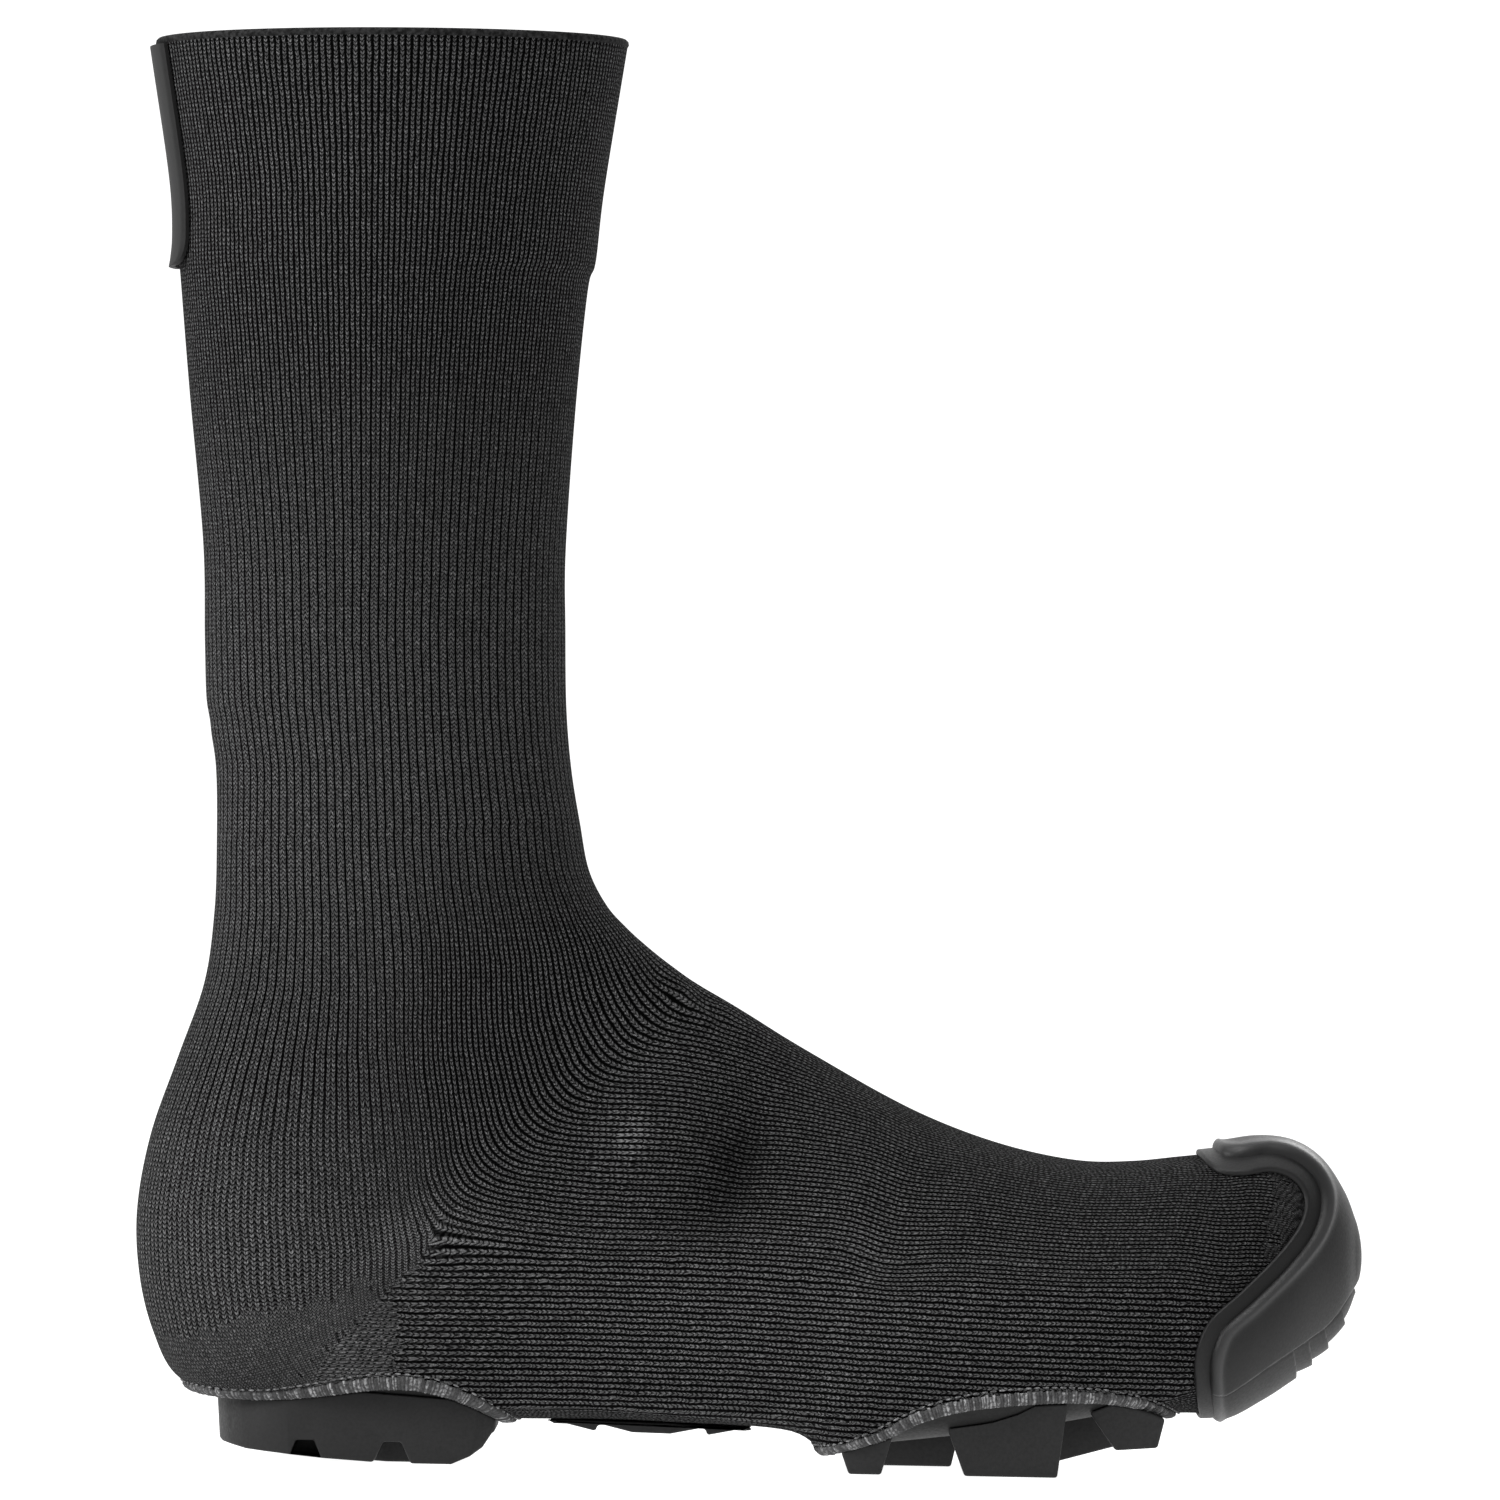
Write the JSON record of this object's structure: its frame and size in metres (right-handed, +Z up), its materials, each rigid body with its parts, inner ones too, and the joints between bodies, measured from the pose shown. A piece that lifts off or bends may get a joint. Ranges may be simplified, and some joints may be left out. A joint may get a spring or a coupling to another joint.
{
  "type": "cycling overshoe",
  "caption": "Tall rib-knit overshoe for a right cycling shoe, with a folded cuff, moulded rubber toe cap, hemmed heel and forefoot openings and a lugged sole.",
  "frame": {"origin": "on the floor, under the middle of the overshoe's bounding box", "axes": "+X towards the toe, +Y towards the inner side of the foot, +Z up"},
  "size_m": [0.3029, 0.1043, 0.3479],
  "materials": {
    "knit": "charcoal rib knit, matte",
    "hem_thread": "grey overlock thread",
    "cap_rubber": "satin moulded rubber",
    "label_rubber": "matte rubber tab, bare",
    "plate_plastic": "dark moulded plastic",
    "sole_rubber": "matte tread rubber"
  },
  "bodies": {
    "root": {"upper": "knit", "toe_cap": "cap_rubber", "heel_hem": "hem_thread", "forefoot_hem": "hem_thread", "back_label": "label_rubber", "sole_plate": "plate_plastic", "heel_tread": "sole_rubber", "arch_tread": "sole_rubber", "lug_outer_rear": "sole_rubber", "lug_outer_ball": "sole_rubber", "lug_outer_toe": "sole_rubber", "lug_inner_rear": "sole_rubber", "lug_inner_ball": "sole_rubber", "lug_inner_toe": "sole_rubber"}
  },
  "joints": []
}
